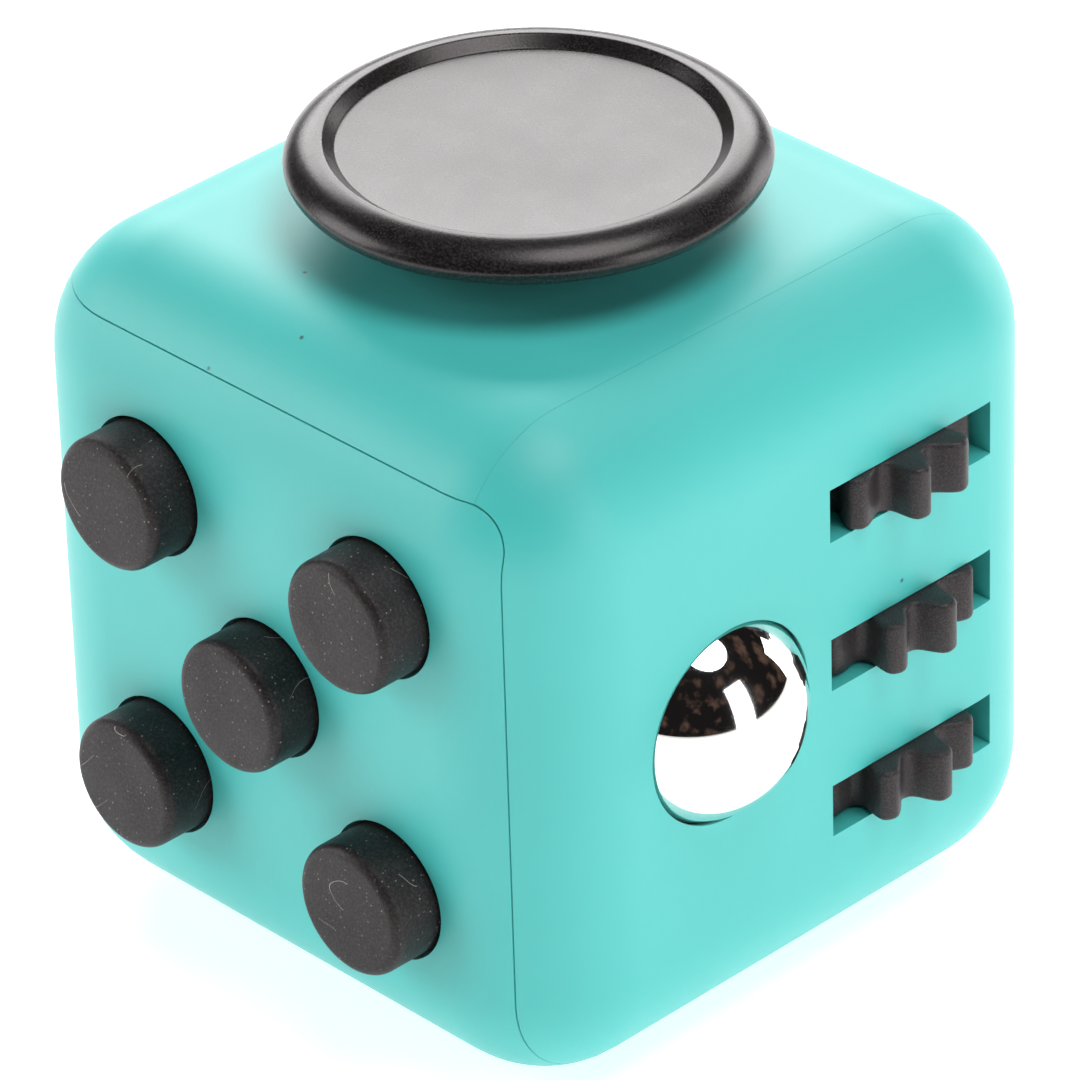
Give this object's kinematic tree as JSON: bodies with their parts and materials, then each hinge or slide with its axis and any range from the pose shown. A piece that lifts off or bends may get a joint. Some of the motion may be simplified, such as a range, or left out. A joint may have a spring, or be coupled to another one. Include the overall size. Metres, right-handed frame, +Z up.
{
  "type": "fidget cube",
  "caption": "Palm-sized rounded cube with click buttons, a tilting thumb disc, a rolling metal ball, lobed rollers, a spin dial, a rocker switch and a smooth dish, one to each face.",
  "frame": {"origin": "centre of the flat rest face under the cube", "axes": "+Z up through the thumb disc, -Y out of the button face, +X out of the ball and roller face"},
  "size_m": [0.0378, 0.0378, 0.037],
  "materials": {
    "shell_plastic": "satin, moulded, turquoise",
    "black_plastic": "matte, lightly textured",
    "inner_plastic": "moulded, natural white",
    "polished_ball": "mirror polished",
    "screw_steel": "zinc plated",
    "spring_steel": "bright, stamped or coiled",
    "silicone": "translucent grey silicone"
  },
  "bodies": {
    "cube": {"main_body": "shell_plastic", "top_cover": "shell_plastic", "right_cover": "shell_plastic", "click_dome_upper_left": "spring_steel", "soft_dome_upper_right": "silicone", "click_dome_centre": "spring_steel", "soft_dome_lower_left": "silicone", "click_dome_lower_right": "spring_steel", "button_plate": "inner_plastic", "button_plate_screws": "screw_steel", "disc_retainer": "inner_plastic", "disc_retainer_screws": "screw_steel", "ball_click_dome": "spring_steel", "ball_plate": "inner_plastic", "ball_plate_screws": "screw_steel", "roller_axle": "spring_steel", "roller_bracket": "inner_plastic", "roller_leaf_spring": "spring_steel", "roller_bracket_screws": "screw_steel", "dial_wave_washer": "spring_steel", "rocker_pin": "spring_steel", "rocker_yoke": "inner_plastic", "rocker_yoke_screws": "screw_steel"},
    "disc_gimbal": {"disc_spring": "spring_steel"},
    "joystick": {"thumb_disc": "black_plastic", "pivot_cap": "inner_plastic", "disc_screw": "screw_steel"},
    "ball_carrier": {"ball_cup": "inner_plastic"},
    "ball": {"steel_ball": "polished_ball"},
    "roller_upper_body": {"roller_upper": "black_plastic"},
    "roller_middle_body": {"roller_middle": "black_plastic"},
    "roller_lower_body": {"roller_lower": "black_plastic"},
    "dial": {"spin_dial": "black_plastic", "dial_retainer": "inner_plastic", "dial_screw": "screw_steel"},
    "rocker_switch": {"rocker": "black_plastic", "rocker_plunger": "inner_plastic", "rocker_spring": "spring_steel"},
    "press_upper_left": {"button_upper_left": "black_plastic"},
    "press_upper_right": {"button_upper_right": "black_plastic"},
    "press_centre": {"button_centre": "black_plastic"},
    "press_lower_left": {"button_lower_left": "black_plastic"},
    "press_lower_right": {"button_lower_right": "black_plastic"}
  },
  "joints": [
    {"name": "press_upper_left", "type": "slide", "parent": "cube", "child": "press_upper_left", "axis": [0, 1, 0], "range_m": [0, 0.0008], "stiffness_N_per_m": 300, "deforming": ["click_dome_upper_left"]},
    {"name": "press_upper_right", "type": "slide", "parent": "cube", "child": "press_upper_right", "axis": [0, 1, 0], "range_m": [0, 0.0008], "stiffness_N_per_m": 300, "deforming": ["soft_dome_upper_right"]},
    {"name": "press_centre", "type": "slide", "parent": "cube", "child": "press_centre", "axis": [0, 1, 0], "range_m": [0, 0.0008], "stiffness_N_per_m": 300, "deforming": ["click_dome_centre"]},
    {"name": "press_lower_left", "type": "slide", "parent": "cube", "child": "press_lower_left", "axis": [0, 1, 0], "range_m": [0, 0.0008], "stiffness_N_per_m": 300, "deforming": ["soft_dome_lower_left"]},
    {"name": "press_lower_right", "type": "slide", "parent": "cube", "child": "press_lower_right", "axis": [0, 1, 0], "range_m": [0, 0.0008], "stiffness_N_per_m": 300, "deforming": ["click_dome_lower_right"]},
    {"name": "disc_tilt_x", "type": "hinge", "parent": "cube", "child": "disc_gimbal", "pos_m": [0, 0, 0.0235], "axis": [1, 0, 0], "range_deg": [-7, 7], "stiffness_Nm_per_rad": 0.03, "deforming": ["disc_spring"]},
    {"name": "disc_tilt_y", "type": "hinge", "parent": "disc_gimbal", "child": "joystick", "pos_m": [0, 0, 0.0235], "axis": [0, 1, 0], "range_deg": [-7, 7], "stiffness_Nm_per_rad": 0.03},
    {"name": "ball_press", "type": "slide", "parent": "cube", "child": "ball_carrier", "axis": [-1, 0, 0], "range_m": [0, 0.0007], "stiffness_N_per_m": 400, "deforming": ["ball_click_dome"]},
    {"name": "ball_roll", "type": "hinge", "parent": "ball_carrier", "child": "ball", "pos_m": [0.01409, -0.0049, 0.0165], "axis": [0, 0, 1], "continuous": true},
    {"name": "roller_upper_spin", "type": "hinge", "parent": "cube", "child": "roller_upper_body", "pos_m": [0.01335, 0.0063, 0.024], "axis": [0, 0, 1], "continuous": true},
    {"name": "roller_middle_spin", "type": "hinge", "parent": "cube", "child": "roller_middle_body", "pos_m": [0.01335, 0.0063, 0.0165], "axis": [0, 0, 1], "continuous": true},
    {"name": "roller_lower_spin", "type": "hinge", "parent": "cube", "child": "roller_lower_body", "pos_m": [0.01335, 0.0063, 0.009], "axis": [0, 0, 1], "continuous": true},
    {"name": "dial_spin", "type": "hinge", "parent": "cube", "child": "dial", "pos_m": [0, 0.0165, 0.0165], "axis": [0, 1, 0], "continuous": true},
    {"name": "rocker_flip", "type": "hinge", "parent": "cube", "child": "rocker_switch", "pos_m": [-0.0151, 0, 0.0165], "axis": [0, -1, 0], "range_deg": [0, 20]}
  ]
}
